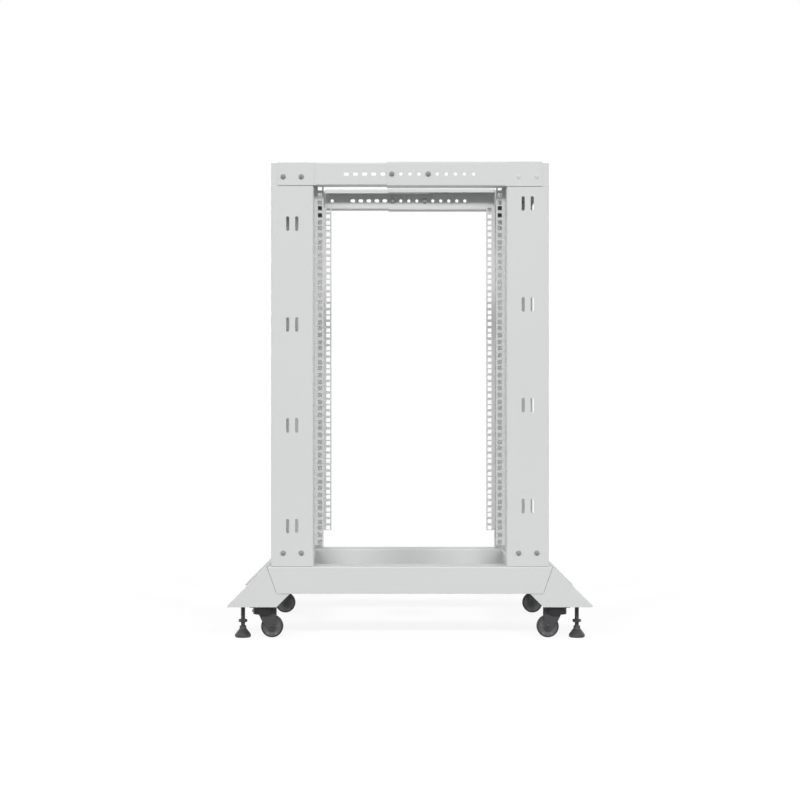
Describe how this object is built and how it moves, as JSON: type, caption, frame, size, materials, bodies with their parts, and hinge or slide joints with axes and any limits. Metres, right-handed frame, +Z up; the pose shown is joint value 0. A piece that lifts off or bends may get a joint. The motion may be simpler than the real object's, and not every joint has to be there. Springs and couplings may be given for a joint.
{
  "type": "four post open frame server rack",
  "caption": "Open frame equipment rack: four folded posts with square mounting holes, telescoping top rails, a channel base with sloped outriggers, swivel casters and levelling feet.",
  "frame": {"origin": "on the floor, under the middle of the rack", "axes": "+Z up, -X towards the rack's front, +Y towards its left side"},
  "size_m": [0.806, 0.554, 1.052],
  "materials": {
    "powder_coat": "fine textured light grey powder coat",
    "caster_metal": "dark pressed steel",
    "wheel_tyre": "matt black nylon and rubber",
    "foot_steel": "dark zinc plated",
    "foot_plastic": "matt black moulded nylon"
  },
  "bodies": {
    "frame": {"post_front_right": "powder_coat", "post_front_left": "powder_coat", "post_rear_right": "powder_coat", "post_rear_left": "powder_coat", "top_rail_right_outer": "powder_coat", "top_rail_right_inner": "powder_coat", "base_rail_right": "powder_coat", "top_rail_left_outer": "powder_coat", "top_rail_left_inner": "powder_coat", "base_rail_left": "powder_coat", "top_beam_front": "powder_coat", "base_beam_front": "powder_coat", "top_beam_rear": "powder_coat", "base_beam_rear": "powder_coat", "post_bracket_front_right": "powder_coat", "foot_bracket_front_right": "powder_coat", "caster_plate_front_right": "caster_metal", "post_bracket_front_left": "powder_coat", "foot_bracket_front_left": "powder_coat", "caster_plate_front_left": "caster_metal", "post_bracket_rear_right": "powder_coat", "foot_bracket_rear_right": "powder_coat", "caster_plate_rear_right": "caster_metal", "post_bracket_rear_left": "powder_coat", "foot_bracket_rear_left": "powder_coat", "caster_plate_rear_left": "caster_metal"},
    "swivel_front_right": {"caster_fork_front_right": "caster_metal"},
    "wheel_front_right": {"caster_wheel_front_right": "wheel_tyre"},
    "foot_front_right": {"levelling_stem_front_right": "foot_steel", "levelling_pad_front_right": "foot_plastic"},
    "swivel_front_left": {"caster_fork_front_left": "caster_metal"},
    "wheel_front_left": {"caster_wheel_front_left": "wheel_tyre"},
    "foot_front_left": {"levelling_stem_front_left": "foot_steel", "levelling_pad_front_left": "foot_plastic"},
    "swivel_rear_right": {"caster_fork_rear_right": "caster_metal"},
    "wheel_rear_right": {"caster_wheel_rear_right": "wheel_tyre"},
    "foot_rear_right": {"levelling_stem_rear_right": "foot_steel", "levelling_pad_rear_right": "foot_plastic"},
    "swivel_rear_left": {"caster_fork_rear_left": "caster_metal"},
    "wheel_rear_left": {"caster_wheel_rear_left": "wheel_tyre"},
    "foot_rear_left": {"levelling_stem_rear_left": "foot_steel", "levelling_pad_rear_left": "foot_plastic"}
  },
  "joints": [
    {"name": "swivel_front_right", "type": "hinge", "parent": "frame", "child": "swivel_front_right", "pos_m": [-0.3145, -0.239, 0.07], "axis": [0, 0, 1], "continuous": true},
    {"name": "roll_front_right", "type": "hinge", "parent": "swivel_front_right", "child": "wheel_front_right", "pos_m": [-0.306, -0.239, 0.0248], "axis": [0, 1, 0], "continuous": true},
    {"name": "level_front_right", "type": "slide", "parent": "frame", "child": "foot_front_right", "axis": [0, 0, 1], "range_m": [0, 0.012]},
    {"name": "swivel_front_left", "type": "hinge", "parent": "frame", "child": "swivel_front_left", "pos_m": [-0.3145, 0.239, 0.07], "axis": [0, 0, 1], "continuous": true},
    {"name": "roll_front_left", "type": "hinge", "parent": "swivel_front_left", "child": "wheel_front_left", "pos_m": [-0.306, 0.239, 0.0248], "axis": [0, 1, 0], "continuous": true},
    {"name": "level_front_left", "type": "slide", "parent": "frame", "child": "foot_front_left", "axis": [0, 0, 1], "range_m": [0, 0.012]},
    {"name": "swivel_rear_right", "type": "hinge", "parent": "frame", "child": "swivel_rear_right", "pos_m": [0.3145, -0.239, 0.07], "axis": [0, 0, 1], "continuous": true},
    {"name": "roll_rear_right", "type": "hinge", "parent": "swivel_rear_right", "child": "wheel_rear_right", "pos_m": [0.306, -0.239, 0.0248], "axis": [0, 1, 0], "continuous": true},
    {"name": "level_rear_right", "type": "slide", "parent": "frame", "child": "foot_rear_right", "axis": [0, 0, 1], "range_m": [0, 0.012]},
    {"name": "swivel_rear_left", "type": "hinge", "parent": "frame", "child": "swivel_rear_left", "pos_m": [0.3145, 0.239, 0.07], "axis": [0, 0, 1], "continuous": true},
    {"name": "roll_rear_left", "type": "hinge", "parent": "swivel_rear_left", "child": "wheel_rear_left", "pos_m": [0.306, 0.239, 0.0248], "axis": [0, 1, 0], "continuous": true},
    {"name": "level_rear_left", "type": "slide", "parent": "frame", "child": "foot_rear_left", "axis": [0, 0, 1], "range_m": [0, 0.012]}
  ]
}
